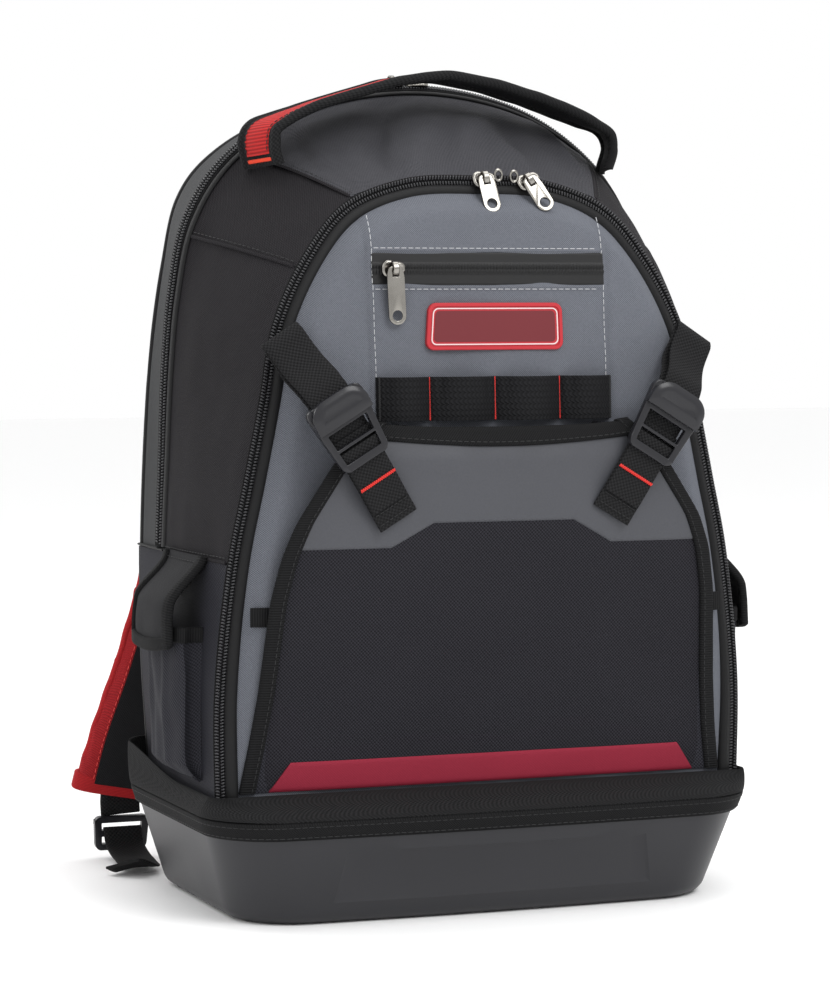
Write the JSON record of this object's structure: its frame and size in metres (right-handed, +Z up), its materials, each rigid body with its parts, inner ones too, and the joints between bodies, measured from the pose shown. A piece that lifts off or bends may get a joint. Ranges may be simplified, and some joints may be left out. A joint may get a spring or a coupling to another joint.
{
  "type": "tool backpack",
  "caption": "Tool backpack: moulded plastic base, zipped arched body, buckled front pocket, tool loops, side pouches, handle and padded shoulder straps.",
  "frame": {"origin": "middle of the tray's flat underside, on the surface that the backpack stands on", "axes": "+Z up, -Y towards the front pocket, +Y towards the wearer's back, +X to the right seen from the front"},
  "size_m": [0.3736, 0.2961, 0.4906],
  "materials": {
    "tray_plastic": "satin charcoal, faint moulding grain",
    "black_tape": "smooth woven black tape",
    "black_webbing": "ribbed black webbing",
    "dark_fabric": "fine charcoal weave",
    "coarse_fabric": "coarse black weave",
    "black_zip": "black zip tape and coil",
    "foam_fabric": "smooth grey cloth over foam",
    "back_mesh": "black spacer mesh",
    "grey_fabric": "fine blue-grey weave",
    "coated_grey": "smooth coated grey cloth",
    "crimson_fabric": "crimson weave",
    "red_fabric": "red weave over foam",
    "red_webbing": "red webbing",
    "red_rubber": "moulded red rubber",
    "black_plastic": "moulded black plastic",
    "nickel": "polished nickel"
  },
  "bodies": {
    "bag": {"tray": "tray_plastic", "base_tape": "black_tape", "base_webbing": "black_webbing", "gusset": "dark_fabric", "lower_side_left": "coarse_fabric", "lower_side_right": "coarse_fabric", "rear_piping": "black_tape", "rear_zip": "black_zip", "rear_shell": "foam_fabric", "back_panel": "back_mesh", "front_zip": "black_zip", "front_piping": "black_tape", "front_panel": "grey_fabric", "pocket_zip": "black_zip", "badge": "red_rubber", "tool_loops": "black_webbing", "pocket_yoke": "coated_grey", "pocket_body": "coarse_fabric", "pocket_stripe": "crimson_fabric", "pocket_binding": "black_tape", "tab_left": "black_tape", "tab_right": "black_tape", "handle_webbing": "black_webbing", "handle_cover": "red_webbing", "pocket_strap_left": "black_webbing", "pocket_buckle_left": "black_plastic", "piping_strap_left": "black_webbing", "shoulder_strap_left": "red_fabric", "strap_loop_left": "black_webbing", "strap_buckle_left": "black_plastic", "strap_webbing_left": "black_webbing", "side_pouch_left": "coarse_fabric", "pouch_flap_left": "dark_fabric", "pocket_strap_right": "black_webbing", "pocket_buckle_right": "black_plastic", "piping_strap_right": "black_webbing", "shoulder_strap_right": "red_fabric", "strap_loop_right": "black_webbing", "strap_buckle_right": "black_plastic", "strap_webbing_right": "black_webbing", "side_pouch_right": "coarse_fabric", "pouch_flap_right": "dark_fabric", "pocket_zip_slider": "nickel", "front_zip_left_slider": "nickel", "front_zip_right_slider": "nickel", "rear_zip_left_slider": "nickel", "rear_zip_right_slider": "nickel"},
    "pocket_zip_pull": {"pocket_zip_pull": "nickel"},
    "front_zip_left_pull": {"front_zip_left_pull": "nickel"},
    "front_zip_right_pull": {"front_zip_right_pull": "nickel"},
    "rear_zip_left_pull": {"rear_zip_left_pull": "nickel"},
    "rear_zip_right_pull": {"rear_zip_right_pull": "nickel"}
  },
  "joints": [
    {"name": "pocket_zip_pull_swing", "type": "hinge", "parent": "bag", "child": "pocket_zip_pull", "pos_m": [-0.06, -0.096, 0.373], "axis": [-0.9988, 0, -0.0499], "range_deg": [0, 150]},
    {"name": "front_zip_left_pull_swing", "type": "hinge", "parent": "bag", "child": "front_zip_left_pull", "pos_m": [0.00382, -0.07498, 0.42601], "axis": [-0.995, 0, -0.0995], "range_deg": [0, 140]},
    {"name": "front_zip_right_pull_swing", "type": "hinge", "parent": "bag", "child": "front_zip_right_pull", "pos_m": [0.03118, -0.07556, 0.42526], "axis": [-0.8944, 0, -0.4472], "range_deg": [0, 140]},
    {"name": "rear_zip_left_pull_swing", "type": "hinge", "parent": "bag", "child": "rear_zip_left_pull", "pos_m": [-0.0131, 0.03514, 0.48766], "axis": [1, 0, 0], "range_deg": [0, 130]},
    {"name": "rear_zip_right_pull_swing", "type": "hinge", "parent": "bag", "child": "rear_zip_right_pull", "pos_m": [0.00323, 0.03514, 0.48808], "axis": [1, 0, 0], "range_deg": [0, 130]}
  ]
}
